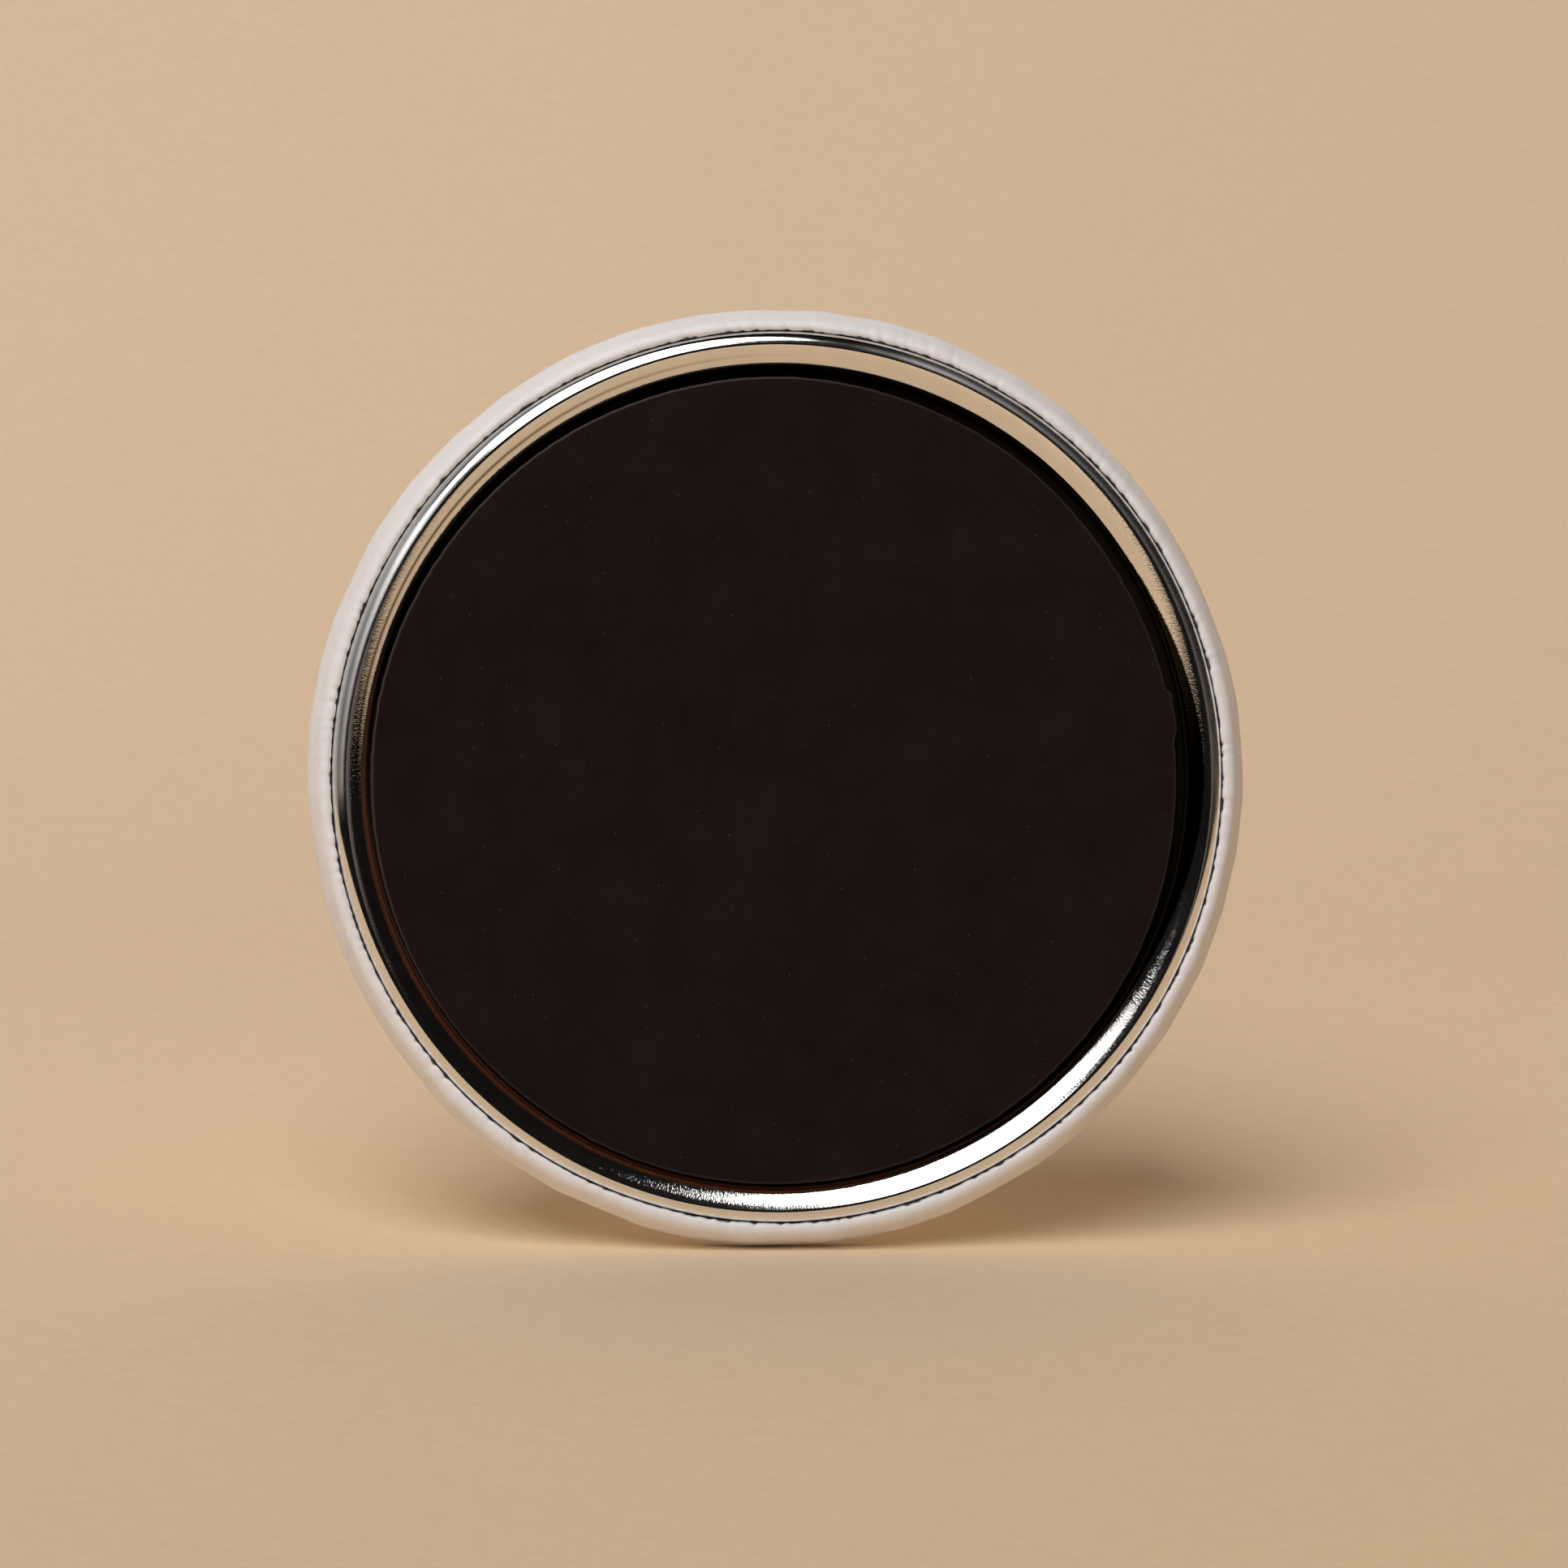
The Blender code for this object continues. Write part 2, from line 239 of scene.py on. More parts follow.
def makeFaceSkin(p):
    low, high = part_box("clear_film")
    draw = np.random.default_rng(p["seed"])
    p["radius"] = high[0]
    taper = np.radians(p["sideTaper"])

    def over(shape, distance, dense):
        # dome, shoulder, tapered side, turned edge, fold round the shell's end, and tuck
        lean, turnRadius, sideRun = np.radians(shape["sideTaper"]), shape["turnRadius"], shape["sideRun"]
        sideRadius = high[0] - p["outside"]
        closing = p["shoulderRadius"] * (1 - np.cos(lean)) + sideRun * np.sin(lean)
        shellEnd = np.array([sideRadius - closing - turnRadius * np.cos(lean), low[1] + p["outside"]])
        turnCentre = shellEnd + [0, turnRadius]
        climb = sideRun * np.cos(lean) + (p["shoulderRadius"] - turnRadius) * np.sin(lean)
        shoulder = np.array([sideRadius - p["shoulderRadius"], turnCentre[1] + climb])
        domeReach = p["domeRadius"] - p["shoulderRadius"]
        sweep = np.degrees(np.arcsin(shoulder[0] / domeReach))
        domeCentre = np.array([0, shoulder[1] - domeReach * np.cos(np.radians(sweep))])
        dome = arc(domeCentre, p["domeRadius"] + distance, 90, 90 - sweep, 2 * dense)
        bend = arc(shoulder, p["shoulderRadius"] + distance, 90 - sweep, -shape["sideTaper"], 5 * dense)
        edge = arc(turnCentre, turnRadius + distance, -shape["sideTaper"], -90, 4 * dense)
        side = run(bend[0][-1], edge[0][0], bend[1][-1], 2 * dense)
        fold = arc(shellEnd, distance, -90, -270, 5 * dense)
        under = arc(turnCentre, turnRadius - distance, -90, -shape["sideTaper"], 2 * dense)
        rise = p["tuckLength"] * np.array([np.sin(lean), np.cos(lean)])
        tuck = run(under[0][-1], under[0][-1] + rise, -under[1][-1], 2)
        places, normals = joinRuns(dome, bend, side, edge, fold, (under[0], -under[1]), tuck)
        return places[1:], normals[1:], domeCentre[1] + p["domeRadius"] + distance

    places, normals, apex = over(p, p["outside"], 3)
    hidden, _, innerApex = over(p, p["inside"], 1)
    roundPlaces, roundNormals, _ = over(p["rounder"], p["outside"], 3)
    roundHidden = over(p["rounder"], p["inside"], 1)[0]
    # way along the section, counted from the fold's start, over the places where the pleats begin and end
    travel = np.concatenate([[0], np.cumsum(np.linalg.norm(np.diff(places, axis=0), axis=1))])
    travel = travel - travel[np.argmin(places[:, 1])]
    toTip = p["outside"] * np.pi / 2
    turnStart = -(p["turnRadius"] + p["outside"]) * (np.pi / 2 - taper)
    sideStart = turnStart - p["sideRun"]
    widest = sideStart - (p["shoulderRadius"] + p["outside"]) * taper

    rounds = np.linspace(0, fullTurn, p["rounds"], endpoint=False)
    count = 6 * p["rounds"]
    look = np.linspace(0, fullTurn, count, endpoint=False)
    pleats = pleatTable(p, draw, count)
    flats = flatsTable(p, draw, count)
    # pleats run a little askew, deepest at the fold's tip and gone by the shoulder
    turned = rounds[:, None] + 0.10 * travel / p["radius"]
    notch = np.interp(turned, look, pleats, period=fullTurn)
    flat = np.interp(np.broadcast_to(rounds[:, None], turned.shape), look, flats, period=fullTurn)
    onFold = smoothstep(travel, -0.3 * mm, toTip) * (1 - smoothstep(travel, toTip, 2 * toTip))
    onEdge = smoothstep(travel, widest, turnStart) * (1 - smoothstep(travel, toTip, 2 * toTip))
    onSide = smoothstep(travel, widest - 1.8 * mm, widest) * (1 - smoothstep(travel, turnStart, toTip))
    swell = np.abs(p["waviness"] * ripple(rounds, 12, 70, draw))
    tip = np.maximum(p["tipBack"][0] + p["tipBack"][1] * ripple(rounds, 20, 160, draw), -0.025 * mm)
    sink = notch * (onEdge + p["foldDeeper"] * onFold) + flat * onSide + swell[:, None] * onEdge
    sink = sink + tip[:, None] * onFold
    sink = np.minimum(sink, 0.8 * (p["outside"] - p["inside"]))
    # the slack draws the side in bodily, and the dome and the fold stay where they are
    drawn = slack(p, rounds)[:, None] * onSide
    # the section goes over from the one edge to the rounder one by angle
    away = np.abs((np.degrees(rounds) - p["rounderAngle"] + 180) % 360 - 180)
    share = (1 - smoothstep(away, *p["rounderSpan"]))[:, None, None]
    shown = (1 - share) * places + share * roundPlaces - ((1 - share) * normals + share * roundNormals) * sink[..., None]
    tucked = ((1 - share) * hidden + share * roundHidden)[:, ::-1]
    outer = turnRound(shown[..., 0] - drawn, shown[..., 1], rounds)
    inner = turnRound(tucked[..., 0], tucked[..., 1], rounds)
    grid = np.concatenate([outer, inner], 1)
    return closedMesh("face_skin", grid, (0, apex, 0), (0, innerApex, 0))


def paperUnderFilm():
    material, tree, shader = newMaterial("paperUnderFilm")
    place = addNode(tree, "ShaderNodeTexCoord").outputs["Object"]
    fibre = addNode(tree, "ShaderNodeTexNoise", {"Vector": place, "Scale": 2600, "Detail": 4, "Roughness": 0.6})
    cloud = addNode(tree, "ShaderNodeTexNoise", {"Vector": place, "Scale": 140, "Detail": 3, "Roughness": 0.55})
    mixed = addNode(tree, "ShaderNodeMix", {"Factor": 0.45, "A": cloud.outputs["Fac"], "B": fibre.outputs["Fac"]})
    tone = ramp(tree, mixed.outputs["Result"], [(0.3, (0.87, 0.86, 0.872)), (0.7, (0.91, 0.905, 0.922))])
    feed(tree, tone.outputs["Color"], shader.inputs["Base Color"])
    shader.inputs["Roughness"].default_value = 0.55
    film = addNode(tree, "ShaderNodeTexNoise", {"Vector": place, "Scale": 900, "Detail": 2})
    grain = addNode(tree, "ShaderNodeBump", {"Height": fibre.outputs["Fac"], "Distance": 0.004 * mm, "Strength": 0.5})
    gloss = addNode(tree, "ShaderNodeBump", {"Height": film.outputs["Fac"], "Distance": 0.008 * mm, "Strength": 0.6})
    feed(tree, grain.outputs["Normal"], shader.inputs["Normal"])
    shader.inputs["Coat Weight"].default_value = 0.3
    shader.inputs["Coat Roughness"].default_value = 0.35
    shader.inputs["Coat IOR"].default_value = 1.5
    feed(tree, gloss.outputs["Normal"], shader.inputs["Coat Normal"])
    return material


faceSkinPiece = makeFaceSkin(faceSkin)
faceSkinPiece.data.materials.append(paperUnderFilm())
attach(faceSkinPiece, "root")
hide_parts("face_paper", "clear_film")
print("face skin:", len(faceSkinPiece.data.polygons), "faces")


# drawn tinplate back

backPlate = {
    "rounds": 720,
    "thickness": 0.25 * mm,
    "bead": 0.75 * mm,               # radii of the shown face
    "slope": 2.72 * mm,
    "crestSweep": 9,
    "slopeSweep": 37.6,
    "lip": 0.35 * mm,
    "brownAngle": 242,                # middle of the side of the recess painted brown; round the rest it is painted near black as shade
    "floorFillet": 0.15 * mm,
    "skirtHeight": 0.05 * mm,
    "flangeBend": 0.1 * mm,
    "crimpGap": 0.05 * mm,
    "wobble": 0.006 * mm,
    "paintedLineDepth": 0.745 * mm,           # painted reflection of a thin dark line on the slope, down from the crest
    "paintedLineArc": (80, 140, 177, 185),  # degrees over which it comes and goes
    "slopeShadeAngle": 0,                 # painted shade over the reflection on the slope's inner part, and how far it climbs there
    "slopeShadeWidth": 25,
    "slopeShadeReach": (1.50 * mm, 0.40 * mm),
    "scuffs": {(134, 150, 180, 188): 1.0, (-15, 5, 66, 84): 0.8},  # dull rubs on the outside of the bead
    "drift": 0.06 * mm,              # how far the bead was drawn off the centre, and which way
    "driftAngle": 290,
    "oval": 0.045 * mm,              # how far it was drawn out of round, and its long axis
    "ovalAngle": 57,
    "seed": 24,
}


def makeBackPlate(p):
    low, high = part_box("back_plate")
    draw = np.random.default_rng(p["seed"])
    flangeRadius = high[0]
    floorLevel = high[1] - p["thickness"]
    skirtRadius = flangeRadius - faceSkin["outside"] - p["crimpGap"]
    beadCentre = np.array([skirtRadius - p["bead"], low[1] + p["bead"]])
    p["crest"] = beadCentre[0]

    def toward(angle):
        return np.array([np.cos(np.radians(angle)), np.sin(np.radians(angle))])

    crestEnd, slopeEnd = -90 - p["crestSweep"], -90 - p["slopeSweep"]
    slopeCentre = beadCentre + (p["bead"] - p["slope"]) * toward(crestEnd)
    lipCentre = slopeCentre + (p["slope"] - p["lip"]) * toward(slopeEnd)
    slopeFoot = lipCentre[0] - p["lip"]

    def face(inset, dense):
        # inset goes into the sheet, so hollow bends grow by it and rounded ones shrink
        wallRadius = slopeFoot + inset
        fillet = p["floorFillet"]
        filletCentre = np.array([wallRadius - inset - fillet, floorLevel - fillet])
        level = floorLevel + inset
        floor = run((0, level), (filletCentre[0], level), (0, -1), 4 * dense)
        corner = arc(filletCentre, fillet + inset, 90, 0, 3 * dense)
        wall = run((wallRadius, filletCentre[1]), (wallRadius, lipCentre[1]), (-1, 0), 2 * dense)
        lip = arc(lipCentre, p["lip"] - inset, -180, slopeEnd, 5 * dense)
        slope = arc(slopeCentre, p["slope"] - inset, slopeEnd, crestEnd, 7 * dense)
        bead = arc(beadCentre, p["bead"] - inset, crestEnd, 0, 9 * dense)
        bendCentre = np.array([skirtRadius + p["flangeBend"], beadCentre[1] + p["skirtHeight"]])
        skirt = run((skirtRadius - inset, beadCentre[1]), (skirtRadius - inset, bendCentre[1]), (1, 0), dense + 1)
        bend = arc(bendCentre, p["flangeBend"] + inset, 180, 90, 2 * dense)
        flangeLevel = bendCentre[1] + p["flangeBend"] + inset
        flange = run((bendCentre[0], flangeLevel), (flangeRadius, flangeLevel), (0, -1), 2)
        return joinRuns(floor, (corner[0], -corner[1]), wall, lip, slope, bead, skirt, (bend[0], -bend[1]), flange)

    places, normals = face(0, 3)
    hidden = face(p["thickness"], 1)[0]
    places, normals, hidden = places[1:], normals[1:], hidden[1:][::-1]
    rounds = np.linspace(0, fullTurn, p["rounds"], endpoint=False)
    # the drawn bead waves a little round the turn, and not at all at the floor and flange
    onBead = smoothstep(places[:, 0], beadCentre[0] - 1.2 * mm, beadCentre[0]) * (places[:, 1] < beadCentre[1])
    wave = np.abs(p["wobble"] * (0.6 * ripple(rounds, 2, 9, draw) + 0.4 * ripple(rounds, 10, 40, draw)))
    sink = wave[:, None] * onBead
    shift = p["drift"] * np.cos(rounds - np.radians(p["driftAngle"]))
    shift = (shift + p["oval"] * np.cos(2 * (rounds - np.radians(p["ovalAngle"]))))[:, None]
    plain = np.ones((p["rounds"], 1))

    def drifted(radius):
        # the crest and the slope move over, and the wall of the recess and the skirt stay
        wall, skirt = slopeFoot, skirtRadius
        return radius + shift * smoothstep(radius, wall, wall + 0.15 * mm) * (1 - smoothstep(radius, beadCentre[0], skirt))

    outer = turnRound(drifted(places[:, 0]) - normals[:, 0] * sink, places[:, 1] - normals[:, 1] * sink, rounds)
    inner = turnRound(drifted(hidden[:, 0]), plain * hidden[:, 1], rounds)
    grid = np.concatenate([outer, inner], 1)
    piece = closedMesh("drawn_back", grid, (0, floorLevel, 0), (0, high[1], 0))
    # stretch coordinates: round a barrel of the crest's radius, with the way along the section as its height
    travel = np.concatenate([[0], np.cumsum(np.linalg.norm(np.diff(places, axis=0), axis=1))])
    travel = np.concatenate([travel - travel[np.argmin(places[:, 1])], np.zeros(len(hidden))])
    barrel = turnRound(plain * np.full(len(travel), beadCentre[0]), plain * travel, rounds)
    keepAttribute(piece, "stretch", np.concatenate([barrel.reshape(-1, 3), np.zeros((2, 3))]))
    # first number: painted line, a reflection; second: how far down the painted shade on the slope starts; third: dull
    # rub
    degrees = np.degrees(rounds)

    def over(span):
        turned = (degrees - span[0]) % 360 + span[0]
        return smoothstep(turned, span[0], span[1]) * (1 - smoothstep(turned, span[2], span[3]))

    # painted shade on the slope, reaching highest round its angle
    away = (degrees - p["slopeShadeAngle"] + 180) % 360 - 180
    least, most = p["slopeShadeReach"]
    slopeShade = -least + (least - most) * np.exp(-(away / p["slopeShadeWidth"]) ** 2)
    scuff = np.max([strength * over(span) for span, strength in p["scuffs"].items()], axis=0)
    marks = np.stack([over(p["paintedLineArc"]), slopeShade, scuff], 1)
    marks = np.repeat(marks, len(travel), 0)
    keepAttribute(piece, "marks", np.concatenate([marks, np.zeros((2, 3))]))
    return piece


def drawnTinplate(p):
    material, tree, shader = newMaterial("drawnTinplate")
    stretch = addNode(tree, "ShaderNodeAttribute", attribute_name="stretch").outputs["Vector"]
    place = addNode(tree, "ShaderNodeTexCoord").outputs["Object"]
    # orange peel of the stretched sheet, pulled out along the slope and kept to it
    pulled = addNode(tree, "ShaderNodeMapping", {"Vector": stretch, "Scale": (1, 0.4, 1)}).outputs["Vector"]
    peel = addNode(tree, "ShaderNodeTexNoise", {"Vector": pulled, "Scale": 12000, "Detail": 2, "Roughness": 0.55})
    along = addNode(tree, "ShaderNodeSeparateXYZ", {"Vector": stretch}).outputs["Y"]
    onSlope = ramp(tree, addNode(tree, "ShaderNodeMapRange", {
        "Value": along, "From Min": -1.6 * mm, "From Max": 0.4 * mm}).outputs["Result"], [
        (0.17, grey(0.0)), (0.23, grey(1.0)), (0.62, grey(1.0)), (0.74, grey(0.12))])
    cloud = addNode(tree, "ShaderNodeTexNoise", {"Vector": place, "Scale": 320, "Detail": 4, "Roughness": 0.6})
    tone = ramp(tree, cloud.outputs["Fac"], [(0.3, (0.86, 0.855, 0.84)), (0.7, (0.93, 0.925, 0.91))])
    # painted shade deep in the crimp groove, and masks for the dull recess
    crimpShadeMask = ramp(tree, addNode(tree, "ShaderNodeMapRange", {
        "Value": along, "From Min": -2.0 * mm, "From Max": 2.0 * mm}).outputs["Result"], [
        (0.78, grey(0.0)), (0.83, grey(0.5))])
    depth = addNode(tree, "ShaderNodeMapRange", {
        "Value": along, "From Min": -2.0 * mm, "From Max": 2.0 * mm}).outputs["Result"]
    recess = ramp(tree, depth, [(0.144, grey(1.0)), (0.162, grey(0.0))])
    bare = ramp(tree, depth, [(0.126, grey(0.0)), (0.144, grey(1.0))])
    # painted shade: the crimp groove goes half way to near black
    crimpShaded = addNode(tree, "ShaderNodeMix", {
        "Factor": crimpShadeMask.outputs["Color"], "A": tone.outputs["Color"], "B": (0.03, 0.025, 0.02, 1)}, data_type="RGBA")
    # painted reflection of a thin dark line round part of the slope, and the painted shade beside it
    marks = addNode(tree, "ShaderNodeAttribute", attribute_name="marks").outputs["Vector"]
    split = addNode(tree, "ShaderNodeSeparateXYZ", {"Vector": marks}).outputs
    line = ramp(tree, addNode(tree, "ShaderNodeMapRange", {
        "Value": along, "From Min": -p["paintedLineDepth"] - 0.2 * mm, "From Max": -p["paintedLineDepth"] + 0.2 * mm}).outputs["Result"], [
        (0.14, grey(0.0)), (0.46, grey(1.0)), (0.54, grey(1.0)), (0.86, grey(0.0))])
    paintedLineMask = addNode(tree, "ShaderNodeMath", {0: line.outputs["Color"], 1: split["X"]}, operation="MULTIPLY").outputs[0]
    withPaintedLine = addNode(tree, "ShaderNodeMix", {
        "Factor": paintedLineMask, "A": crimpShaded.outputs["Result"], "B": (0.19, 0.16, 0.125, 1)}, data_type="RGBA")
    ragged = addNode(tree, "ShaderNodeMath", {0: peel.outputs["Fac"], 1: 0.25 * mm, 2: -0.125 * mm}, operation="MULTIPLY_ADD")
    below = addNode(tree, "ShaderNodeMath", {0: split["Y"], 1: along}, operation="SUBTRACT").outputs[0]
    below = addNode(tree, "ShaderNodeMath", {0: below, 1: ragged.outputs[0]}, operation="ADD").outputs[0]
    # painted shade: the slope goes near black below a ragged line, over its reflection
    slopeShade = addNode(tree, "ShaderNodeMapRange", {
        "Value": below, "From Min": -0.03 * mm, "From Max": 0.05 * mm}).outputs["Result"]
    slopeShaded = addNode(tree, "ShaderNodeMix", {
        "Factor": slopeShade, "A": withPaintedLine.outputs["Result"], "B": (0.015, 0.012, 0.009, 1)}, data_type="RGBA")
    # the metal in the recess is painted dull: brown on the side where the magnet lies close, and near black round the
    # rest as painted shade
    side = np.radians(p["brownAngle"])
    toBrownSide = (np.cos(side) / p["crest"], 0, np.sin(side) / p["crest"])
    close = addNode(tree, "ShaderNodeVectorMath", {0: stretch, 1: toBrownSide}, operation="DOT_PRODUCT").outputs["Value"]
    # painted shade: near black away from the brown side
    recessBrownAndShade = ramp(tree, close, [(0.15, (0.010, 0.007, 0.004)), (0.6, (0.070, 0.036, 0.022))])
    recessPainted = addNode(tree, "ShaderNodeMix", {
        "Factor": recess.outputs["Color"], "A": slopeShaded.outputs["Result"], "B": recessBrownAndShade.outputs["Color"]}, data_type="RGBA")
    feed(tree, recessPainted.outputs["Result"], shader.inputs["Base Color"])
    haze = ramp(tree, cloud.outputs["Fac"], [(0.3, grey(0.06)), (0.75, grey(0.09))])
    outside = ramp(tree, addNode(tree, "ShaderNodeMapRange", {
        "Value": along, "From Min": -0.2 * mm, "From Max": 0.8 * mm}).outputs["Result"], [
        (0.15, grey(0.0)), (0.35, grey(1.0)), (0.85, grey(1.0)), (1.0, grey(0.0))])
    rubbed = addNode(tree, "ShaderNodeMath", {0: outside.outputs["Color"], 1: split["Z"]}, operation="MULTIPLY").outputs[0]
    dull = addNode(tree, "ShaderNodeMix", {"Factor": rubbed, "A": haze.outputs["Color"], "B": 0.32})
    feed(tree, dull.outputs["Result"], shader.inputs["Roughness"])
    feed(tree, bare.outputs["Color"], shader.inputs["Metallic"])
    shader.inputs["Specular IOR Level"].default_value = 0.0
    bump = addNode(tree, "ShaderNodeBump", {
        "Height": peel.outputs["Fac"], "Distance": 0.009 * mm, "Strength": onSlope.outputs["Color"]})
    feed(tree, bump.outputs["Normal"], shader.inputs["Normal"])
    return material


backPiece = makeBackPlate(backPlate)
backPiece.data.materials.append(drawnTinplate(backPlate))
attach(backPiece, "root")
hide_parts("back_plate")
print("drawn back:", len(backPiece.data.polygons), "faces")


# die-cut magnet disc

magnet = {
    "rounds": 960,
    "edgeRound": 0.1 * mm,
    "cutWander": 0.03 * mm,
    "cutBurr": 0.012 * mm,
    "cutLines": 0.008 * mm,
    "tabAngle": (5, 13.2),           # where the cutting line closes on itself, degrees
    "tabHeight": 0.25 * mm,
    "closeAngle": 229,
    "rubAndLightAngle": 140,                 # the side whose edge is lightest, by rubbing and a painted highlight towards the key lamp
    "seed": 15,
}


def makeMagnet(p):
    low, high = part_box("magnet_disc")
    draw = np.random.default_rng(p["seed"])
    middle = (np.asarray(low) + np.asarray(high)) / 2
    reach = (high[0] - low[0]) / 2
    rounds = np.linspace(0, fullTurn, p["rounds"], endpoint=False)
    degrees = np.degrees(rounds)
    start, end = p["tabAngle"]
    tab = smoothstep(degrees, start, start + 3) * (1 - smoothstep(degrees, end - 0.7, end))
    outline = p["cutWander"] * ripple(rounds, 3, 11, draw) + p["tabHeight"] * tab
    outline = outline + p["cutBurr"] * ripple(rounds, 30, 140, draw)
    lines = p["cutLines"] * ripple(rounds, 120, 420, draw)
    e = p["edgeRound"]
    rings = np.append(np.array([0.3, 0.6, 0.8, 0.9, 0.96]) * reach, reach - e * np.array([4, 2.4, 1.6, 1]))
    rings = np.stack([rings, np.full_like(rings, low[1])], 1)
    face = (rings, np.tile((0, -1), (len(rings), 1)))
    edge = arc((reach - e, low[1] + e), e, -90, 0, 6)
    side = run((reach, low[1] + e), (reach, high[1]), (1, 0), 8)
    rear = run((reach, high[1]), (0.02 * reach, high[1]), (0, 1), 3)
    places, normals = joinRuns(face, edge, side, rear)
    nearEdge = smoothstep(places[:, 0], 0.9 * reach, reach)
    onSide = smoothstep(places[:, 1], low[1] + 0.5 * e, low[1] + 2 * e) * (places[:, 0] > reach - e)
    radius = places[:, 0] + outline[:, None] * nearEdge + lines[:, None] * onSide
    level = np.broadcast_to(places[:, 1], radius.shape)
    grid = turnRound(radius, level, rounds, (middle[0], middle[2]))
    piece = closedMesh("cut_magnet", grid, (middle[0], low[1], middle[2]), (middle[0], high[1], middle[2]))
    # first number: rubbed edge, lightest towards the key lamp as a painted highlight; second: cut side, painted near
    # black as shade; third: the part of it that lies close to the wall, painted brown
    rubbed = smoothstep(places[:, 0], reach - 1.7 * e, reach - 0.9 * e) * (1 - onSide)
    close = smoothstep(np.cos(rounds - np.radians(p["closeAngle"])), 0.3, 0.8)
    plain = np.ones((p["rounds"], 1))
    # wear and painted highlight: the edge is lightened most on the side towards the key lamp
    worn = 0.35 + 0.65 * smoothstep(np.cos(rounds - np.radians(p["rubAndLightAngle"])), 0.2, 0.8)
    zone = np.stack([worn[:, None] * rubbed, plain * onSide, close[:, None] * onSide], 2)
    keepAttribute(piece, "zone", np.concatenate([zone.reshape(-1, 3), np.zeros((2, 3))]))
    return piece


def ferriteRubber():
    material, tree, shader = newMaterial("ferriteRubber")
    place = addNode(tree, "ShaderNodeTexCoord").outputs["Object"]
    cloud = addNode(tree, "ShaderNodeTexNoise", {"Vector": place, "Scale": 60, "Detail": 5, "Roughness": 0.6})
    grain = addNode(tree, "ShaderNodeTexNoise", {"Vector": place, "Scale": 4200, "Detail": 3, "Roughness": 0.6})
    tone = ramp(tree, cloud.outputs["Fac"], [(0.3, (0.0100, 0.0051, 0.0047)), (0.7, (0.0122, 0.0066, 0.0062))])
    # pale bloom in soft patches, and a few specks of dust
    bloom = addNode(tree, "ShaderNodeTexNoise", {"Vector": place, "Scale": 190, "Detail": 8, "Roughness": 0.74})
    patch = ramp(tree, bloom.outputs["Fac"], [(0.40, grey(0.0)), (0.72, grey(0.65))])
    bloomed = addNode(tree, "ShaderNodeMix", {
        "Factor": patch.outputs["Color"], "A": tone.outputs["Color"], "B": (0.0195, 0.0132, 0.0126, 1)}, data_type="RGBA")
    dust = addNode(tree, "ShaderNodeTexVoronoi", {"Vector": place, "Scale": 1500, "Randomness": 1.0})
    rare = addNode(tree, "ShaderNodeMath", {0: dust.outputs["Color"], 1: 0.83}, operation="GREATER_THAN")
    near = addNode(tree, "ShaderNodeMath", {0: dust.outputs["Distance"], 1: 0.07}, operation="LESS_THAN")
    speck = addNode(tree, "ShaderNodeMath", {0: rare.outputs[0], 1: near.outputs[0]}, operation="MULTIPLY")
    dusty = addNode(tree, "ShaderNodeMix", {
        "Factor": speck.outputs[0], "A": bloomed.outputs["Result"], "B": (0.06, 0.042, 0.034, 1)}, data_type="RGBA")
    # lighter rubbed edge with a painted highlight, cut side painted near black as shade, brown where it lies close to
    # the wall, and a smoother edge
    zone = addNode(tree, "ShaderNodeAttribute", attribute_name="zone").outputs["Vector"]
    split = addNode(tree, "ShaderNodeSeparateXYZ", {"Vector": zone}).outputs
    # rubbed edge lightened, partly wear and partly a painted highlight
    edgeWearAndHighlight = addNode(tree, "ShaderNodeMix", {
        "Factor": split["X"], "A": dusty.outputs["Result"], "B": (0.050, 0.041, 0.039, 1)}, data_type="RGBA")
    cut = addNode(tree, "ShaderNodeMix", {
        "Factor": split["Y"], "A": edgeWearAndHighlight.outputs["Result"], "B": (0.004, 0.003, 0.0025, 1)}, data_type="RGBA")
    cutSideShadeAndBrown = addNode(tree, "ShaderNodeMix", {
        "Factor": split["Z"], "A": cut.outputs["Result"], "B": (0.13, 0.045, 0.02, 1)}, data_type="RGBA")
    feed(tree, cutSideShadeAndBrown.outputs["Result"], shader.inputs["Base Color"])
    shader.inputs["Specular IOR Level"].default_value = 0.05
    rub = ramp(tree, cloud.outputs["Fac"], [(0.3, grey(0.52)), (0.7, grey(0.66))])
    worn = addNode(tree, "ShaderNodeMix", {"Factor": split["X"], "A": rub.outputs["Color"], "B": 0.28})
    feed(tree, worn.outputs["Result"], shader.inputs["Roughness"])
    bump = addNode(tree, "ShaderNodeBump", {"Height": grain.outputs["Fac"], "Distance": 0.01 * mm, "Strength": 0.6})
    feed(tree, bump.outputs["Normal"], shader.inputs["Normal"])
    return material


magnetPiece = makeMagnet(magnet)
magnetPiece.data.materials.append(ferriteRubber())
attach(magnetPiece, "root")
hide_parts("magnet_disc")
print("cut magnet:", len(magnetPiece.data.polygons), "faces")


# finishes of the two parts that stay as they are

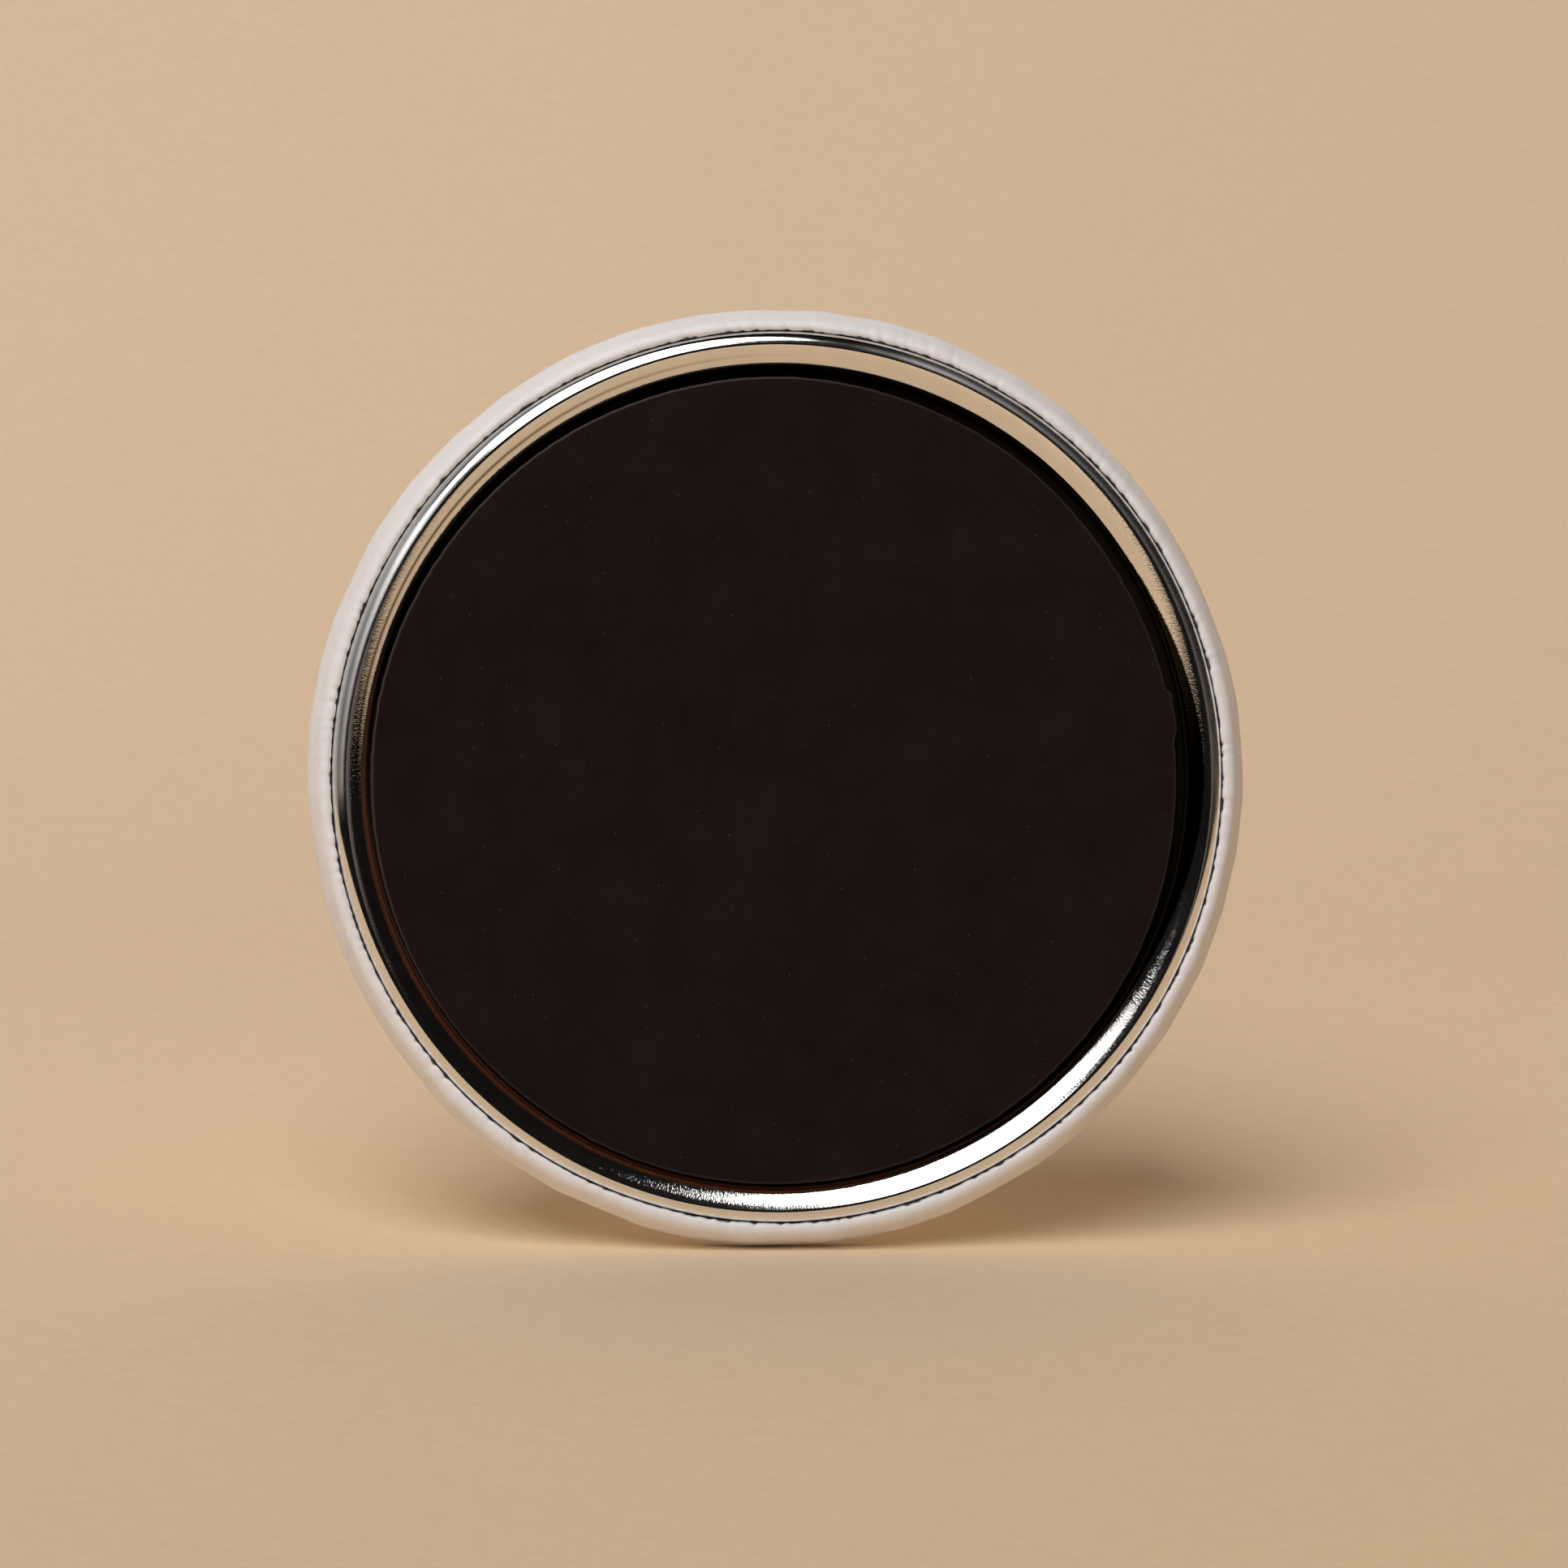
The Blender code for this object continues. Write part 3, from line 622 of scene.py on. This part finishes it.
def shellTinplate():
    material, tree, shader = newMaterial("shellTinplate")
    place = addNode(tree, "ShaderNodeTexCoord").outputs["Object"]
    cloud = addNode(tree, "ShaderNodeTexNoise", {"Vector": place, "Scale": 300, "Detail": 4})
    tone = ramp(tree, cloud.outputs["Fac"], [(0.3, (0.58, 0.58, 0.56)), (0.7, (0.68, 0.68, 0.66))])
    feed(tree, tone.outputs["Color"], shader.inputs["Base Color"])
    haze = ramp(tree, cloud.outputs["Fac"], [(0.3, grey(0.2)), (0.7, grey(0.34))])
    feed(tree, haze.outputs["Color"], shader.inputs["Roughness"])
    shader.inputs["Metallic"].default_value = 1.0
    return material


def paleAdhesive():
    material, tree, shader = newMaterial("paleAdhesive")
    place = addNode(tree, "ShaderNodeTexCoord").outputs["Object"]
    cloud = addNode(tree, "ShaderNodeTexNoise", {"Vector": place, "Scale": 500, "Detail": 3})
    tone = ramp(tree, cloud.outputs["Fac"], [(0.3, (0.68, 0.62, 0.50)), (0.7, (0.78, 0.73, 0.62))])
    feed(tree, tone.outputs["Color"], shader.inputs["Base Color"])
    haze = ramp(tree, cloud.outputs["Fac"], [(0.3, grey(0.38)), (0.7, grey(0.52))])
    feed(tree, haze.outputs["Color"], shader.inputs["Roughness"])
    return material


def dress(node, material):
    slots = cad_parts[node].material_slots
    for slot in slots:
        slot.link = "OBJECT"
        slot.material = material


dress("front_shell", shellTinplate())
dress("adhesive_disc", paleAdhesive())
print("kept parts dressed")


# tan paper sweep, which stands the button on its edge and leans it back

sweep = {
    "lean": 8.5,                     # degrees that the floor climbs towards the back
    "left": -0.6,
    "right": 1.2,
    "front": -3.0,
    "bendStart": 0.12,
    "bendRadius": 0.4,
    "rise": 1.0,
    "gap": 0.08 * mm,
}


def makeSweep(p):
    # floor, quarter bend and upright in floor coordinates, then leaned about the X axis
    lean = np.radians(p["lean"])
    up = np.array([0, -np.sin(lean), np.cos(lean)])
    back = np.array([0, np.cos(lean), np.sin(lean)])
    spots = np.empty(len(faceSkinPiece.data.vertices) * 3, np.float32)
    faceSkinPiece.data.vertices.foreach_get("co", spots)
    ground = (spots.reshape(-1, 3) @ up).min() - p["gap"]
    turn = np.linspace(0, np.pi / 2, 24)
    depth = np.concatenate([np.linspace(p["front"], p["bendStart"], 20), p["bendStart"] + p["bendRadius"] * np.sin(turn[1:])])
    height = np.concatenate([np.zeros(20), p["bendRadius"] * (1 - np.cos(turn[1:]))])
    depth = np.append(depth, depth[-1])
    height = np.append(height, height[-1] + p["rise"])
    line = depth[:, None] * back + (height + ground)[:, None] * up
    across = np.linspace(p["left"], p["right"], 2)
    grid = line[None] + across[:, None, None] * np.array([1, 0, 0])
    n = len(depth)
    first = np.arange(n - 1)
    faces = np.stack([first, first + n, first + n + 1, first + 1], 1)
    mesh = bpy.data.meshes.new("paper_sweep")
    mesh.from_pydata(grid.reshape(-1, 3).tolist(), [], faces.tolist())
    mesh.polygons.foreach_set("use_smooth", np.ones(len(faces), bool))
    piece = bpy.data.objects.new("paper_sweep", mesh)
    bpy.context.scene.collection.objects.link(piece)
    return piece


def tanPaper():
    # one-sided: from behind, the sweep isn't there
    material, tree, shader = newMaterial("tanPaper")
    place = addNode(tree, "ShaderNodeTexCoord").outputs["Object"]
    cloud = addNode(tree, "ShaderNodeTexNoise", {"Vector": place, "Scale": 700, "Detail": 6, "Roughness": 0.65})
    near = ramp(tree, cloud.outputs["Fac"], [(0.3, (0.735, 0.550, 0.352)), (0.7, (0.775, 0.582, 0.376))])
    far = ramp(tree, cloud.outputs["Fac"], [(0.3, (0.850, 0.665, 0.468)), (0.7, (0.890, 0.700, 0.496))])
    # painted light: the paper is paler towards the back and the left
    split = addNode(tree, "ShaderNodeSeparateXYZ", {"Vector": place}).outputs
    backward = addNode(tree, "ShaderNodeMapRange", {
        "Value": split["Y"], "From Min": -0.10, "From Max": 0.06, "To Max": 0.65}).outputs["Result"]
    leftward = addNode(tree, "ShaderNodeMapRange", {
        "Value": split["X"], "From Min": 0.08, "From Max": -0.08, "To Max": 0.35}).outputs["Result"]
    paintedBrightening = addNode(tree, "ShaderNodeMath", {0: backward, 1: leftward}, operation="ADD").outputs[0]
    tone = addNode(tree, "ShaderNodeMix", {
        "Factor": paintedBrightening, "A": near.outputs["Color"], "B": far.outputs["Color"]}, data_type="RGBA")
    feed(tree, tone.outputs["Result"], shader.inputs["Base Color"])
    bump = addNode(tree, "ShaderNodeBump", {"Height": cloud.outputs["Fac"], "Distance": 0.08 * mm, "Strength": 0.35})
    feed(tree, bump.outputs["Normal"], shader.inputs["Normal"])
    shader.inputs["Roughness"].default_value = 0.9
    shader.inputs["Specular IOR Level"].default_value = 0.2
    clear = addNode(tree, "ShaderNodeBsdfTransparent")
    rear = addNode(tree, "ShaderNodeNewGeometry").outputs["Backfacing"]
    both = addNode(tree, "ShaderNodeMixShader", {0: rear, 1: shader.outputs[0], 2: clear.outputs[0]})
    tree.links.new(both.outputs[0], tree.nodes["Material Output"].inputs["Surface"])
    return material


sweepPiece = makeSweep(sweep)
sweepPiece.data.materials.append(tanPaper())
print("sweep laid")


# lamps, all soft boxes that look at the button

lamps = {
    "key": {"from": 109, "tilt": 46.5, "distance": 2.6, "size": (1.74, 2.45), "power": 51.5,
            "colour": (1.0, 0.98, 0.975)},
    "low": {"from": 102, "tilt": 18, "distance": 2.6, "size": (0.42, 0.70), "power": 2.7,
            "colour": (1.0, 0.98, 0.975)},
    "rear": {"from": 70, "tilt": 128, "distance": 1.4, "size": (1.4, 1.0), "power": 9,
             "colour": (0.97, 0.98, 1.0)},
}


def addLamp(name, p):
    # polar place about the line out of the magnet: tilted off it, then turned round it; its height lies along the tilt
    turn, tilt = np.radians(p["from"]), np.radians(p["tilt"])
    spoke = np.array([np.cos(turn), 0, np.sin(turn)])
    out = np.array([0, -1, 0])
    way = np.cos(tilt) * out + np.sin(tilt) * spoke
    rise = np.cos(tilt) * spoke - np.sin(tilt) * out
    light = bpy.data.lights.new(name, "AREA")
    light.shape = "ELLIPSE"
    light.size, light.size_y = p["size"]
    light.energy = p["power"]
    light.color = p["colour"]
    lamp = bpy.data.objects.new(name, light)
    turnAxes = np.stack([np.cross(rise, way), rise, way], 1)
    lamp.matrix_world = Matrix.Translation(way * p["distance"]) @ Matrix(turnAxes.tolist()).to_4x4()
    bpy.context.scene.collection.objects.link(lamp)


for name, settings in lamps.items():
    addLamp(name, settings)

room = {
    "dark": (0.006, 0.005, 0.0045),
    "wall": (0.30, 0.305, 0.315),     # on the left, beside and behind the button
    "patch": (0.11, 0.095, 0.085),   # grey wall end on the right
    "patchFrom": 0,
    "patchTilt": 20,
    "patchReach": 7,
}


def dimRoom(p):
    world = bpy.data.worlds.new("dimRoom")
    world.use_nodes = True
    tree = world.node_tree
    way = addNode(tree, "ShaderNodeTexCoord").outputs["Generated"]
    split = addNode(tree, "ShaderNodeSeparateXYZ", {"Vector": way}).outputs
    leftward = addNode(tree, "ShaderNodeMapRange", {
        "Value": split["X"], "From Min": -0.3, "From Max": -0.7}).outputs["Result"]
    beside = addNode(tree, "ShaderNodeMapRange", {
        "Value": split["Y"], "From Min": -0.45, "From Max": -0.30}).outputs["Result"]
    onWall = addNode(tree, "ShaderNodeMath", {0: leftward, 1: beside}, operation="MULTIPLY").outputs[0]
    walled = addNode(tree, "ShaderNodeMix", {
        "Factor": onWall, "A": (*p["dark"], 1), "B": (*p["wall"], 1)}, data_type="RGBA")
    turn, tilt = np.radians(p["patchFrom"]), np.radians(p["patchTilt"])
    toward = (np.sin(tilt) * np.cos(turn), -np.cos(tilt), np.sin(tilt) * np.sin(turn))
    near = addNode(tree, "ShaderNodeVectorMath", {0: way, 1: toward}, operation="DOT_PRODUCT").outputs["Value"]
    edge = np.cos(np.radians(p["patchReach"]))
    inside = addNode(tree, "ShaderNodeMapRange", {
        "Value": near, "From Min": edge - 0.004, "From Max": edge + 0.004}).outputs["Result"]
    lit = addNode(tree, "ShaderNodeMix", {
        "Factor": inside, "A": walled.outputs["Result"], "B": (*p["patch"], 1)}, data_type="RGBA")
    feed(tree, lit.outputs["Result"], tree.nodes["Background"].inputs["Color"])
    return world


bpy.context.scene.world = dimRoom(room)
print("lamps set")


# camera, a little to the left of the button's axis and below it

view = {
    "round": -3.2,                   # degrees to the side
    "rise": -0.9,                    # degrees up
    "distance": 0.45,
    "frameWidth": 96.6 * mm,         # at the button
    "target": (0.378 * mm, 1.0 * mm, -0.475 * mm),
}


def addCamera(p):
    side, rise = np.radians(p["round"]), np.radians(p["rise"])
    way = Vector((np.sin(side) * np.cos(rise), -np.cos(side) * np.cos(rise), np.sin(rise)))
    lens = bpy.data.cameras.new("camera")
    lens.sensor_width = 36
    lens.lens = lens.sensor_width * p["distance"] / p["frameWidth"]
    lens.clip_start = 0.01
    camera = bpy.data.objects.new("camera", lens)
    camera.location = Vector(p["target"]) + p["distance"] * way
    camera.rotation_euler = (-way).to_track_quat("-Z", "Y").to_euler()
    bpy.context.scene.collection.objects.link(camera)
    bpy.context.scene.camera = camera


addCamera(view)
bpy.context.scene.view_settings.view_transform = "Standard"
print("camera set")
